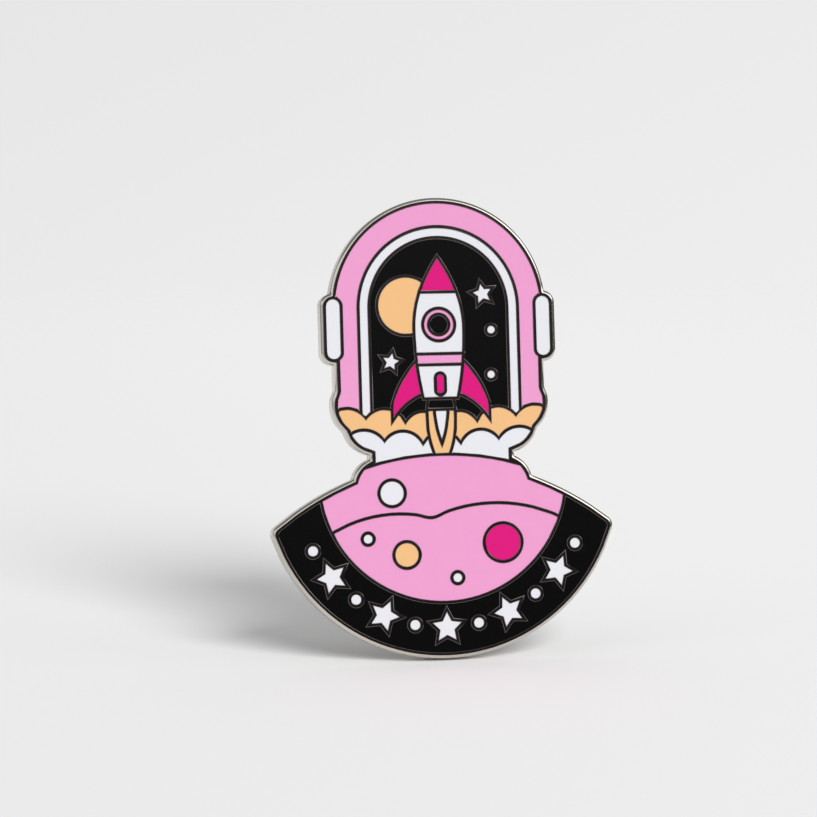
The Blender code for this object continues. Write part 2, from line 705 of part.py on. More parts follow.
def strip(path, halves, thickness):
    """A bmesh of a bent strip: path is its middle line of (x, y) points, halves its half-width at each."""
    middle = [Vector(p) for p in path]
    solid = bmesh.new()
    sections = []
    for i, here in enumerate(middle):
        before = (here - middle[i - 1]).normalized() if i else (middle[1] - here).normalized()
        after = (middle[i + 1] - here).normalized() if i + 1 < len(middle) else before
        across = Vector((-(before + after).y, (before + after).x)).normalized()
        side = across * (thickness / 2 / across.dot(Vector((-after.y, after.x))))
        half = halves[i]
        corners = [(here + side, half), (here - side, half), (here - side, -half), (here + side, -half)]
        sections.append([solid.verts.new((p.x * MM, p.y * MM, z * MM)) for p, z in corners])
    solid.faces.new(sections[0])
    solid.faces.new(sections[-1])
    for one, two in zip(sections, sections[1:]):
        for k in range(4):
            solid.faces.new((one[k], one[k - 1], two[k - 1], two[k]))
    bmesh.ops.recalc_face_normals(solid, faces=solid.faces)
    return solid


def make_jaw(name, clutch, side):
    """Half of the spring: a jaw that grips the post, a pivot at the window and a wing for the finger."""
    shape = [
        (JAW_END - HINGE_X, -JAW_DROP, JAW_HALF),
        (-HOUSING_WALL - JAW_THICKNESS, 0, JAW_HALF),
        (HOUSING_WALL, 0, JAW_HALF),
    ]
    start, end = Vector((WING_BEND, WING_BEND)), Vector((WING_REACH, WING_RISE))
    outwards = Vector((end.y - start.y, start.x - end.x)).normalized()
    round_share = WING_ROUND / (end - start).length
    tip_share = WING_TIP_HALF / WING_HALF
    for i in range(WING_SECTIONS):
        share = i / (WING_SECTIONS - 1)
        place = start.lerp(end, share) + outwards * WING_SWELL * math.sin(math.pi * share)
        widening = math.sin(min(1, share / (1 - round_share)) * math.pi / 2)
        rounding = max(0, (share - 1 + round_share) / round_share)
        half = JAW_HALF + (WING_HALF - JAW_HALF) * widening
        shape.append((*place, half * math.sqrt(1 - (1 - tip_share ** 2) * rounding ** 2)))
    path = [(side * x, y) for x, y, _ in shape]
    jaw = added(name, strip(path, [half for _, _, half in shape], JAW_THICKNESS))
    post_path = circle(-side * HINGE_X, 0, POST_RADIUS + JAW_GAP)
    post = added("post_path", prism(post_path, -HINGE_Y, HINGE_Y))
    carve(jaw, "DIFFERENCE", [post])
    finished = baked(jaw)
    for item in (jaw, post):
        bpy.data.objects.remove(item, do_unlink=True)
    jaw = added(name, finished, SPRING_STEEL)
    jaw.parent = clutch
    jaw.location = (side * HINGE_X * MM, HINGE_Y * MM, 0)


def make_clutch(place, z):
    """A butterfly clutch on its post, at the distance that cloth would hold it off the plate."""
    clutch = bpy.data.objects.new(place + "_clutch", None)
    bpy.context.scene.collection.objects.link(clutch)
    clutch.location = (0, CLUTCH_STAND_OFF * MM, z * MM)
    make_disc(place + "_clutch_disc", clutch)
    make_housing(place + "_clutch_housing", clutch)
    make_jaw(place + "_clutch_right_jaw", clutch, 1)
    make_jaw(place + "_clutch_left_jaw", clutch, -1)


layers = picture()
make_plate(layers)
make_enamel(layers)
for place, z in (("upper", POST_SPACING / 2), ("lower", -POST_SPACING / 2)):
    make_post(place + "_post", z)
    make_clutch(place, z)
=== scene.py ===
"""The looks of a hard-enamel pin: a struck black-nickel plate, polished enamel and two clutches."""

import json
import math

import bmesh
import bpy
from mathutils import Matrix, Vector
from mathutils.geometry import interpolate_bezier


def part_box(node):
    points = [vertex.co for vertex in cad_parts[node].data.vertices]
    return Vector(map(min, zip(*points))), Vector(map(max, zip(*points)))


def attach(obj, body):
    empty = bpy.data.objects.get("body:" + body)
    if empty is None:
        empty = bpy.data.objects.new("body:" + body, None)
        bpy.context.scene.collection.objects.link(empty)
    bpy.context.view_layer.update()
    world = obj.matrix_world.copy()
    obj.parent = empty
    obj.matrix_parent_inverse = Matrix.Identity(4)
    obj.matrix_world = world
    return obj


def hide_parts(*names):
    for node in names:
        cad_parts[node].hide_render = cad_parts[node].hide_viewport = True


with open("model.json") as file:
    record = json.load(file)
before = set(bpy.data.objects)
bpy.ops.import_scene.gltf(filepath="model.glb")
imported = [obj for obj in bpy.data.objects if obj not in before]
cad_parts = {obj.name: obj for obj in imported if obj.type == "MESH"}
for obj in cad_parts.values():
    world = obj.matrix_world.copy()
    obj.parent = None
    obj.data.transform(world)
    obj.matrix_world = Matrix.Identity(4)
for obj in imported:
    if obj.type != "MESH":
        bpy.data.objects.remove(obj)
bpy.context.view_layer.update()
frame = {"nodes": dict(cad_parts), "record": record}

# Sizes are in millimetres: x runs to the right, z up, and y from the front of the pin to its back
MM = 0.001
MERGE = 0.002
FINE_MERGE = 0.0002

# Plate and enamel
PLATE_THICKNESS = 1.7
POCKET_DEPTH = 0.6
SHOULDER_ROUND = 0.25
SHOULDER_STEPS = 8
BACK_ROUND = 0.1
BACK_STEPS = 4
LINE_ROUND = 0.05
LINE_STEPS = 3
FIT_GAP = 0.02
EDGE_MARK = "outer_edge"
FRONT = -PLATE_THICKNESS
POCKET_FLOOR = FRONT + POCKET_DEPTH

# Curves: a turn sharper than CORNER stays, and a side much longer than its neighbour stays straight
CORNER = math.radians(45)
STRAIGHT_SHARE = 1.7
CURVE_STEP = math.radians(4)
NO_TURN = math.radians(0.4)
MITRE_LIMIT = 0.2
FILL_SLANT = 0.3

# Softened corners: the most of a side that one takes, and the pull and number of its points
SIDE_SHARE = 0.45
CORNER_PULL = 0.55
CORNER_POINTS = 5

# Posts, as (radius, y) points behind the plate
POST_STEPS = 72
POST_SOFTNESS = 0.12
SOLDER = [(0, 0), (1.8, 0), (1.56, 0.06)]
FOOT = [(1.5, 0.2), (1.4, 0.32), (0.85, 0.34)]
FILLET = [(0.6, 0.46), (0.55, 0.75)]
NECK = [(0.55, 6.08), (0.42, 6.24), (0.42, 6.46), (0.55, 6.62)]
POINT = [(0.55, 7.0), (0.09, 7.9), (0, 8.0)]

# Clutch discs, as (radius, y) points behind the disc's front
DISC_STEPS = 128
DISC_SOFTNESS = 0.16
FLARED_HOLE = [(0.8, 0.25), (1.05, 0.0)]
ROLLED_RIM = [(5.4, 0.0), (5.75, 0.3), (5.75, 1.15), (5.4, 1.15), (5.4, 0.6), (5.2, 0.45)]
STAMPED_RING = [(4.9, 0.45), (4.75, 0.53), (4.35, 0.53), (4.2, 0.45)]
HOLE_TOP = [(0.8, 0.45)]

# Clutch housings and their springs
CUT_PAST = 1
BLOCK_STEPS = 8
CROWN_STEPS = 6
EDGE_STEPS = 2
SHARP_EDGE = math.radians(40)
HOUSING_EDGE = 0.05
HOUSING_HALF_WIDTH = 3.3
HOUSING_HALF_HEIGHT = 2.2
HOUSING_DEPTH = 3.4
HOUSING_WALL = 0.35
HOUSING_CORNER = 0.7
HOUSING_CROWN = 0.35
HOUSING_FOOT = 0.9
HOUSING_FOOT_HALF = 2.0
BORE_RADIUS = 0.8
WINDOW_CORNER = 0.01
WINDOW_HALF = 1.75
WINDOW_SILL = 1.45
WINDOW_HEIGHT = 1.1
HINGE_X = 3.125
HINGE_RISE = 2.22
JAW_THICKNESS = 0.3
JAW_HALF = 1.6
JAW_NOTCH = 0.6
JAW_REACH = 0.3
JAW_DROP = 0.7
JAW_FLAT_IN = -0.65
JAW_FLAT_OUT = 0.35
JAW_BEND = 0.45
JAW_EDGE = 0.07
JAW_COLUMNS = 24
WING_SECTIONS = 28
WING_HALF = 2.7
WING_TIP_HALF = 1.05
WING_ROUND = 1.55
WING_SWELL = 0.35
WING_START = Vector((1.0, 1.0))
WING_END = Vector((2.7, 4.0))

# Colours
DARK_METAL = (0.155, 0.128, 0.128)
BRIGHT_METAL = (0.68, 0.635, 0.575)
NICKEL = (0.62, 0.6, 0.56)
WORN_NICKEL = (0.5, 0.48, 0.44)
STEEL = (0.56, 0.55, 0.53)
WORN_STEEL = (0.44, 0.43, 0.41)
PINK = (0.9, 0.375, 0.66)
WHITE = (0.845, 0.85, 0.895)
BLACK = (0.0006, 0.0006, 0.0008)
PEACH = (0.94, 0.56, 0.26)
MAGENTA = (0.76, 0.012, 0.22)

# Patterns of noise: cells to a millimetre, how much each axis is multiplied, and the span that shows
SMUDGE_CELLS = 0.35
SMUDGE_SPAN = (0.4, 0.75)
STREAK_CELLS = 1.0
STREAK_DRAW = (0.15, 9, 0.15)
STREAK_SPAN = (0.4, 0.75)
STIPPLE_CELLS = 9
CLOUD_CELLS = 0.6
POLISH_CELLS = 5
POLISH_DRAW = (0.3, 1, 4)
POLISH_SPAN = (0.55, 0.8)
SPECK_CELLS = 14
SPECK_SPAN = (0.72, 0.8)
WAVE_CELLS = 0.9
NICKEL_CELLS = 3
STEEL_CELLS = 5
GRAIN_DRAW = (1, 6, 0.4)
FINGER_CELLS = 0.5
FINGER_SPAN = (0.42, 0.75)
DING_CELLS = 2.2
DING_SPAN = (0.66, 0.74)

# Surfaces: roughness, depth of relief, and how bright the plating is rubbed
PLATING_ROUGHNESS = 0.1
ENAMEL_ROUGHNESS = 0.07
NICKEL_ROUGHNESS = 0.16
STEEL_ROUGHNESS = 0.24
PLATING_RELIEF = 0.03
ENAMEL_RELIEF = 0.006
STEEL_RELIEF = 0.008
BACK_SKIN = (-0.03, -0.005)
EDGE_BRIGHT = 0.85
STREAK_BRIGHT = 0.15
BACK_BRIGHT = 0.4
SMUDGE_BRIGHT = 0.04

# Camera, in degrees and millimetres, and the photograph's frame
YAW = 10.5
PITCH = -1.5
ROLL = -1.63
DISTANCE = 240.6
FOCAL_PIXELS = 2899.0
FRAME_PIXELS = 817
SENSOR = 36.0
CLIP_START = 10
AIM_LEFT = 2.43
AIM_UP = 1.62

# Studio: the pin leans back on its floor, in degrees
LEAN = 9.0
FLOOR_LEVEL = -19.0
# The floor's two colours are painted light: darker on the left as painted shade, lighter on the right
FLOOR_PAINTED_SHADE_LEFT = (0.96, 0.962, 0.962)
FLOOR_PAINTED_LIGHT_RIGHT = (0.998, 0.998, 0.998)
FLOOR_BOUNCE = (0.62, 0.62, 0.62)
FLOOR_PAINTED_LIGHT_SPAN = (-45, 45)
FLOOR_FADE = (200, 400)
KEY_STRENGTH = 2.5
KEY_SPREAD = 31
KEY_FROM = Vector((0.271, -0.858, 0.436))

# Surroundings: levels of light, and the spans of a way's x, y or z over which they come in or go out
BACKDROP_DIM = 0.792
BACKDROP_BRIGHT = 0.854
BACKDROP_SLOPE = Vector((0.417, 0, -0.909))
BACKDROP_SPAN = (-0.2, 0.12)
FRONT_FILL = 0.1
WALL_FILL = 0.5
WALL_FILL_Y = (-0.8, -0.35)
FRONT_GLOSS_LOW = 0.07
FRONT_GLOSS_HIGH = 0.15
FRONT_Z = (-0.06, 0.12)
LEFT_GLOSS = 0.48
LEFT_X = (-0.4, -0.1)
LEFT_Y = (0.05, 0.2)
BACK_GLOSS = 0.5
BACK_X = (0.25, 0.5)
BACK_Y = (0.4, 0.6)
BACK_Z = (0.3, 0.55)
CEILING_GLOSS = 0.12
CEILING_Z = (0.5, 0.8)
STRIP_DIM = 0.9
STRIP_BRIGHT = 2.4
STRIP_BRIGHT_X = (0.05, 0.45)
STRIP_X = (0.75, 0.9)
STRIP_Y = (-0.1, 0.15)
STRIP_FOOT_Z = (0.14, 0.24)
STRIP_TOP_Z = (0.48, 0.62)


# Outlines in the plane of the plate, taken from the solids

def section(node, depth):
    """The closed outlines where a level cut through a CAD node crosses its walls, as (x, z) points."""
    solid = bmesh.new()
    solid.from_mesh(frame["nodes"][node].data)
    bmesh.ops.remove_doubles(solid, verts=solid.verts, dist=MERGE * MM)
    everything = solid.verts[:] + solid.edges[:] + solid.faces[:]
    cut = bmesh.ops.bisect_plane(solid, geom=everything, dist=FINE_MERGE * MM, plane_co=(0, depth * MM, 0),
                                 plane_no=(0, 1, 0))["geom_cut"]
    cut_edges = {item for item in cut if isinstance(item, bmesh.types.BMEdge)}
    outlines = []
    while cut_edges:
        edge = cut_edges.pop()
        start, here = edge.verts
        outline = [start]
        while here != start:
            outline.append(here)
            edge = next(e for e in here.link_edges if e in cut_edges)
            cut_edges.remove(edge)
            here = edge.other_vert(here)
        outlines.append(tidied([Vector((v.co.x, v.co.z)) / MM for v in outline]))
    solid.free()
    return sorted(outlines, key=area, reverse=True)


def neighbours(points):
    """Each point of a closed outline, between the one before it and the one after."""
    return zip(points[-1:] + points[:-1], points, points[1:] + points[:1])


def area(points):
    """The area within an outline."""
    return abs(turning(points))


def turning(points):
    """The area within an outline, below nought where the outline runs clockwise."""
    return sum(a.x * b.y - b.x * a.y for a, b, _ in neighbours(points)) / 2


def tidied(points):
    """The outline counter-clockwise, without the points that lie on a straight side."""
    if turning(points) < 0:
        points = points[::-1]
    return [here for before, here, after in neighbours(points)
            if (here - before).angle(after - here) > NO_TURN]


def eased(points):
    """The outline with its chords turned back into curves; corners and straight sides stay."""
    ways = []
    for before, here, after in neighbours(points):
        back, ahead = here - before, after - here
        if back.angle(ahead) > CORNER:
            ways.append(None)
        elif back.length > STRAIGHT_SHARE * ahead.length:
            ways.append(back.normalized())
        elif ahead.length > STRAIGHT_SHARE * back.length:
            ways.append(ahead.normalized())
        else:
            ways.append((back.normalized() * ahead.length + ahead.normalized() * back.length).normalized())
    curve = []
    for i, here in enumerate(points):
        after = points[(i + 1) % len(points)]
        leave, arrive = ways[i], ways[(i + 1) % len(points)]
        curve += chord_curve(here, after, leave, arrive)
    return curve


def chord_curve(here, after, leave, arrive):
    """The points of one curved side, without its last."""
    chord = (after - here).normalized()
    if leave is None and arrive is None:
        return [here]
    if leave is None:
        leave = 2 * chord.dot(arrive) * chord - arrive
    if arrive is None:
        arrive = 2 * chord.dot(leave) * chord - leave
    steps = max(1, math.ceil(leave.angle(arrive) / CURVE_STEP))
    third = (after - here).length / 3
    return interpolate_bezier(here, here + leave * third, after - arrive * third, after, steps + 1)[:-1]


def outward(points):
    """For each point of an outline, the way that moves both its sides out by one."""
    ways = []
    for before, here, after in neighbours(points):
        one, two = (here - before).normalized(), (after - here).normalized()
        ways.append(Vector((one.y + two.y, -one.x - two.x)) / max(1 + one.dot(two), MITRE_LIMIT))
    return ways


def holds(outline, point):
    """Whether a point lies within an outline."""
    crossings = 0
    for a, b, _ in neighbours(outline):
        if (a.y > point.y) != (b.y > point.y):
            crossings += point.x < a.x + (b.x - a.x) * (point.y - a.y) / (b.y - a.y)
    return crossings % 2 == 1


# Solids

def rounding(radius, steps):
    """The (outset, depth) steps of a rounded edge, from the flat top to the wall."""
    angles = [math.pi / 2 * i / steps for i in range(steps + 1)]
    return [(radius * (1 - math.sin(a)), radius * (1 - math.cos(a))) for a in angles]


def walled(solid, points, profile):
    """A wall swept round an outline through the (outset, y) steps of a profile. Gives its two end rings."""
    ways = outward(points)
    rows = []
    for outset, y in profile:
        rows.append([(p.x + w.x * outset, y, p.y + w.y * outset) for p, w in zip(points, ways)])
    verts = [solid.verts.new(place) for place in rows[0]]
    first = [solid.edges.new(pair) for pair in zip(verts, verts[1:] + verts[:1])]
    ring = first
    order = {vert: i for i, vert in enumerate(verts)}
    for row in rows[1:]:
        grown = bmesh.ops.extrude_edge_only(solid, edges=ring)["geom"]
        fresh = [item for item in grown if isinstance(item, bmesh.types.BMVert)]
        partner = {v: next(e.other_vert(v) for e in v.link_edges if e.other_vert(v) in order)
                   for v in fresh}
        order = {v: order[partner[v]] for v in fresh}
        for vert, i in order.items():
            vert.co = row[i]
        edges = [item for item in grown if isinstance(item, bmesh.types.BMEdge)]
        ring = [edge for edge in edges if all(vert in order for vert in edge.verts)]
    return first, ring


def filled(solid, edges):
    """Fills flat outlines and the holes in them, with a crisp edge. The fill works best on a slant."""
    verts = list({vert for edge in edges for vert in edge.verts})
    slant = Matrix.Rotation(FILL_SLANT, 3, "Y")
    bmesh.ops.rotate(solid, verts=verts, matrix=slant)
    bmesh.ops.triangle_fill(solid, use_beauty=True, edges=edges, normal=(0, -1, 0))
    bmesh.ops.rotate(solid, verts=verts, matrix=slant.transposed())
    for edge in edges:
        edge.smooth = False


def spun(profile, steps, centre):
    """A bmesh of a profile of (radius, y) points, spun about the y axis through a centre."""
    solid = bmesh.new()
    verts = [solid.verts.new((r, y, 0)) for r, y in profile]
    edges = [solid.edges.new(pair) for pair in zip(verts, verts[1:])]
    if profile[0][0] > 0:
        edges.append(solid.edges.new((verts[-1], verts[0])))
    bmesh.ops.spin(solid, geom=verts + edges, cent=(0, 0, 0), axis=(0, 1, 0), angle=2 * math.pi,
                   steps=steps, use_merge=True)
    bmesh.ops.remove_doubles(solid, verts=solid.verts, dist=FINE_MERGE)
    bmesh.ops.translate(solid, verts=solid.verts, vec=centre)
    return solid


def softened(points, radius, closed=False):
    """A line of points with its corners rounded."""
    points = [Vector(p) for p in points]
    line = []
    for i, (before, here, after) in enumerate(neighbours(points)):
        if not closed and i in (0, len(points) - 1):
            line.append(here)
            continue
        back, ahead = before - here, after - here
        start = here + back.normalized() * min(radius, back.length * SIDE_SHARE)
        end = here + ahead.normalized() * min(radius, ahead.length * SIDE_SHARE)
        line += interpolate_bezier(start, start.lerp(here, CORNER_PULL), end.lerp(here, CORNER_PULL), end,
                                   CORNER_POINTS)
    return line


def finished(name, solid, material, body, node):
    """A piece made of a bmesh in millimetres, which rides a body in place of a CAD node."""
    bmesh.ops.recalc_face_normals(solid, faces=solid.faces)
    bmesh.ops.scale(solid, verts=solid.verts, vec=(MM, MM, MM))
    mesh = bpy.data.meshes.new(name)
    solid.to_mesh(mesh)
    solid.free()
    mesh.shade_smooth()
    mesh.materials.append(material)
    piece = bpy.data.objects.new(name, mesh)
    bpy.context.scene.collection.objects.link(piece)
    weighted = piece.modifiers.new("flat_faces", "WEIGHTED_NORMAL")
    weighted.mode = "FACE_AREA"
    weighted.keep_sharp = True
    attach(piece, body)
    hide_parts(node)
    return piece


# Materials

class Wire:
    """A shader value that takes part in sums."""

    def __init__(self, tree, socket):
        self.tree = tree
        self.socket = socket

    def maths(self, operation, one, two):
        """A Math node on two values."""
        return add_node(self.tree, "ShaderNodeMath", {"operation": operation}, {0: one, 1: two})

    def __add__(self, other):
        return self.maths("ADD", self, other)

    def __radd__(self, other):
        return self.maths("ADD", other, self)

    def __sub__(self, other):
        return self.maths("SUBTRACT", self, other)

    def __rsub__(self, other):
        return self.maths("SUBTRACT", other, self)

    def __mul__(self, other):
        return self.maths("MULTIPLY", self, other)

    def __rmul__(self, other):
        return self.maths("MULTIPLY", other, self)


def add_node(tree, kind, settings=None, sockets=None, out=0):
    """A node of a kind, with its settings made first and then its sockets filled or linked."""
    node = tree.nodes.new(kind)
    for name, value in (settings or {}).items():
        setattr(node, name, value)
    for name, value in (sockets or {}).items():
        feed(tree, node.inputs[name], value)
    return Wire(tree, node.outputs[out])


def feed(tree, socket, value):
    """Links a socket to a wire, or sets it to a plain value."""
    if isinstance(value, Wire):
        tree.links.new(value.socket, socket)
    else:
        socket.default_value = value


class Shade:
    """A tree of shader nodes."""

    def __init__(self, tree):
        self.tree = tree

    def node(self, kind, settings=None, sockets=None, out=0):
        """A new node of the tree."""
        return add_node(self.tree, kind, settings, sockets, out)

    def ramp(self, value, low, high):
        """A value spread from nought at low to one at high."""
        return self.node("ShaderNodeMapRange", {"interpolation_type": "SMOOTHSTEP"},
                         {"Value": value, "From Min": low, "From Max": high})

    def along(self, way, direction):
        """How far a way points in a direction, from minus one to one."""
        return self.node("ShaderNodeVectorMath", {"operation": "DOT_PRODUCT"},
                         {0: way, 1: direction.normalized()}, out="Value")

    def ray(self, kind):
        """One for rays of a kind, and nought for others."""
        return self.node("ShaderNodeLightPath", out="Is " + kind + " Ray")


class Finish(Shade):
    """A material on a Principled shader, whose patterns are measured in millimetres."""

    def __init__(self, name):
        self.material = bpy.data.materials.new(name)
        self.material.use_nodes = True
        super().__init__(self.material.node_tree)
        self.shader = self.tree.nodes["Principled BSDF"]
        place = self.node("ShaderNodeTexCoord", out="Object")
        self.place = self.node("ShaderNodeVectorMath", {"operation": "SCALE"}, {0: place, "Scale": 1 / MM})
        self.depth = self.node("ShaderNodeSeparateXYZ", sockets={0: self.place}, out="Y")

    def noise(self, cells, detail, draw=(1, 1, 1)):
        """Noise of so many cells to a millimetre, drawn out along the axes that are multiplied least."""
        place = self.node("ShaderNodeVectorMath", {"operation": "MULTIPLY"}, {0: self.place, 1: draw})
        return self.node("ShaderNodeTexNoise",
                         sockets={"Vector": place, "Scale": cells, "Detail": detail})

    def mix(self, share, one, two):
        """A share of colour two in colour one."""
        one, two = (c if isinstance(c, Wire) else (*c, 1) for c in (one, two))
        return self.node("ShaderNodeMix", {"data_type": "RGBA"}, {0: share, 6: one, 7: two}, out=2)

    def bump(self, height, depth):
        """Relief of a depth in millimetres."""
        self.set(Normal=self.node("ShaderNodeBump", sockets={"Height": height, "Distance": depth * MM}))

    def set(self, **sockets):
        """Feeds the shader's sockets, and gives the material."""
        for name, value in sockets.items():
            feed(self.tree, self.shader.inputs[name.replace("_", " ")], value)
        return self.material


def black_nickel():
    """Dark plating in front, rubbed bright round the outer edge, and a stippled back."""
    finish = Finish("black_nickel")
    smudge = finish.ramp(finish.noise(SMUDGE_CELLS, 4), *SMUDGE_SPAN)
    streaks = finish.ramp(finish.noise(STREAK_CELLS, 3, STREAK_DRAW), *STREAK_SPAN)
    stipple = finish.noise(STIPPLE_CELLS, 3)
    edge = finish.node("ShaderNodeAttribute", {"attribute_name": EDGE_MARK}, out="Fac")
    back = finish.ramp(finish.depth, *BACK_SKIN)
    finish.bump(stipple * back + streaks * edge * 0.1, PLATING_RELIEF)
    rubbed = edge * (EDGE_BRIGHT + STREAK_BRIGHT * streaks)
    bright = rubbed + back * BACK_BRIGHT + SMUDGE_BRIGHT * smudge
    return finish.set(
        Base_Color=finish.mix(bright, DARK_METAL, BRIGHT_METAL),
        Roughness=PLATING_ROUGHNESS + smudge * 0.05 + edge * 0.05 + back * 0.2,
        Metallic=1.0,
    )


def enamel(name, colour):
    """Polished glass enamel: slight pigment clouds, fine polishing marks and the faintest waviness."""
    finish = Finish(name)
    cloud = finish.noise(CLOUD_CELLS, 4)
    marks = finish.ramp(finish.noise(POLISH_CELLS, 2, POLISH_DRAW), *POLISH_SPAN)
    speck = finish.ramp(finish.noise(SPECK_CELLS, 1), *SPECK_SPAN)
    finish.bump(finish.noise(WAVE_CELLS, 1) * 0.4 + marks * 0.05, ENAMEL_RELIEF)
    light = tuple(min(1, c * 1.02 + 0.002) for c in colour)
    deep = tuple(c * 0.965 for c in colour)
    return finish.set(
        Base_Color=finish.mix(cloud * 0.8 + speck * 0.3, light, deep),
        Roughness=ENAMEL_ROUGHNESS + marks * 0.05 + cloud * 0.03,
    )


def plated_steel(name, colour, worn_colour, roughness, grain_cells):
    """Bright nickel plate or sprung steel: drawn grain, small dings and finger smudges."""
    finish = Finish(name)
    lines = finish.noise(grain_cells, 3, GRAIN_DRAW)
    smudge = finish.ramp(finish.noise(FINGER_CELLS, 4), *FINGER_SPAN)
    ding = finish.ramp(finish.noise(DING_CELLS, 2), *DING_SPAN)
    finish.bump(lines * 0.3 + ding * 0.5, STEEL_RELIEF)
    return finish.set(
        Base_Color=finish.mix(smudge * 0.7 + ding * 0.3, colour, worn_colour),
        Roughness=roughness + smudge * 0.1 + lines * 0.08,
        Metallic=1.0,
    )


enamels = {
    "pink_enamel": enamel("pink_enamel_glass", PINK),
    "white_enamel": enamel("white_enamel_glass", WHITE),
    "black_enamel": enamel("black_enamel_glass", BLACK),
    "peach_enamel": enamel("peach_enamel_glass", PEACH),
    "magenta_enamel": enamel("magenta_enamel_glass", MAGENTA),
}
plating = black_nickel()
nickel = plated_steel("bright_nickel", NICKEL, WORN_NICKEL, NICKEL_ROUGHNESS, NICKEL_CELLS)
spring_steel = plated_steel("spring_steel_strip", STEEL, WORN_STEEL, STEEL_ROUGHNESS, STEEL_CELLS)
slots = {row["node"]: row["material_slot"] for row in frame["record"]["subparts"]}


# Plate and enamel

def struck_plate():
    """The plate: raised lines and rim with rounded edges, recesses for the enamel, and a flat back."""
    outlines = section("base_plate", (FRONT + SHOULDER_ROUND + POCKET_FLOOR) / 2)
    curves = [eased(outline) for outline in outlines]
    nests = [[j for j, other in enumerate(outlines) if j != i and holds(other, outline[0])]
             for i, outline in enumerate(outlines)]
    solid = bmesh.new()
    edge_mark = solid.faces.layers.float.new(EDGE_MARK)
    shoulder = [(-outset, FRONT + depth) for outset, depth in rounding(SHOULDER_ROUND, SHOULDER_STEPS)]
    back_edge = [(-outset, -depth) for outset, depth in reversed(rounding(BACK_ROUND, BACK_STEPS))]
    rims = []
    for curve, nest in zip(curves, nests):
        side = 1 if len(nest) % 2 else -1
        line_edge = [(side * outset, FRONT + depth) for outset, depth in rounding(LINE_ROUND, LINE_STEPS)]
        profile = line_edge + [(0, POCKET_FLOOR)] if nest else shoulder + back_edge
        rims.append(walled(solid, curve, profile))
        if not nest:
            for face in solid.faces:
                face[edge_mark] = 1
    for i, nest in enumerate(nests):
        within = [j for j, other in enumerate(nests) if i in other and len(other) == len(nest) + 1]
        end = len(nest) % 2
        filled(solid, sum((rims[j][end] for j in within), list(rims[i][end])))
    filled(solid, rims[0][1])
    finished("struck_plate", solid, plating, "plate", "base_plate")


def enamel_fill(node):
    """A piece of enamel, flush with its recess's walls."""
    low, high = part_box(node)
    top, floor = low.y / MM, high.y / MM
    solid = bmesh.new()
    tops, floors = [], []
    for i, outline in enumerate(section(node, (top + floor) / 2)):
        side = -1 if i else 1
        first, last = walled(solid, eased(outline), [(side * FIT_GAP, top), (side * FIT_GAP, floor)])
        tops += first
        floors += last
    filled(solid, tops)
    filled(solid, floors)
    finished(node.replace("_enamel", "_fill"), solid, enamels[slots[node]], "plate", node)


struck_plate()
for node in slots:
    if node.endswith("_enamel"):
        enamel_fill(node)


# Posts and clutches

def middle(node):
    """The middle of a CAD node's box."""
    low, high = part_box(node)
    return (low + high) / 2 / MM


def wire_post(node):
    """A pointed wire on a foot, with the solder that holds it to the plate."""
    profile = SOLDER + FOOT + FILLET + NECK + POINT
    solid = spun(softened(profile, POST_SOFTNESS), POST_STEPS, (0, 0, middle(node).z))
    finished("wire_" + node, solid, nickel, "plate", node)


def pressed_disc(node, body):
    """A clutch's base disc: flared hole, stamped step and rolled rim."""
    profile = FLARED_HOLE + ROLLED_RIM + STAMPED_RING + HOLE_TOP
    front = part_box(node)[0].y / MM
    solid = spun(softened(profile, DISC_SOFTNESS, closed=True), DISC_STEPS, (0, front, middle(node).z))
    finished("pressed_" + node, solid, nickel, body, node)


def rounded_block(half_width, half_height, corner, near, far):
    """A block with round upright corners."""
    solid = bmesh.new()
    upright = Matrix.Rotation(math.pi / 2, 4, "X")
    bmesh.ops.create_grid(solid, x_segments=1, y_segments=1, size=1, matrix=upright)
    bmesh.ops.scale(solid, verts=solid.verts, vec=(half_width, 1, half_height))
    bmesh.ops.bevel(solid, geom=solid.verts[:], offset=corner, affect="VERTICES", segments=BLOCK_STEPS,
                    profile=0.5, material=-1)
    bmesh.ops.translate(solid, verts=solid.verts, vec=(0, near, 0))
    grown = bmesh.ops.extrude_face_region(solid, geom=solid.faces[:], use_keep_orig=True)["geom"]
    top = [item for item in grown if isinstance(item, bmesh.types.BMVert)]
    bmesh.ops.translate(solid, verts=top, vec=(0, far - near, 0))
    bmesh.ops.recalc_face_normals(solid, faces=solid.faces)
    return solid


def placed(solid):
    """A bmesh as an object, for cutting."""
    mesh = bpy.data.meshes.new("blank")
    solid.to_mesh(mesh)
    solid.free()
    blank = bpy.data.objects.new("blank", mesh)
    bpy.context.scene.collection.objects.link(blank)
    return blank


def cut_from(blank, steps):
    """A bmesh of a blank after a list of (operation, tool) cuts."""
    for operation, tool in steps:
        cut = blank.modifiers.new(operation, "BOOLEAN")
        cut.operation = operation
        cut.solver = "EXACT"
        cut.object = tool
    graph = bpy.context.evaluated_depsgraph_get()
    solid = bmesh.new()
    solid.from_mesh(bpy.data.meshes.new_from_object(blank.evaluated_get(graph)))
    for item in [blank] + [tool for _, tool in steps]:
        bpy.data.objects.remove(item, do_unlink=True)
    return solid


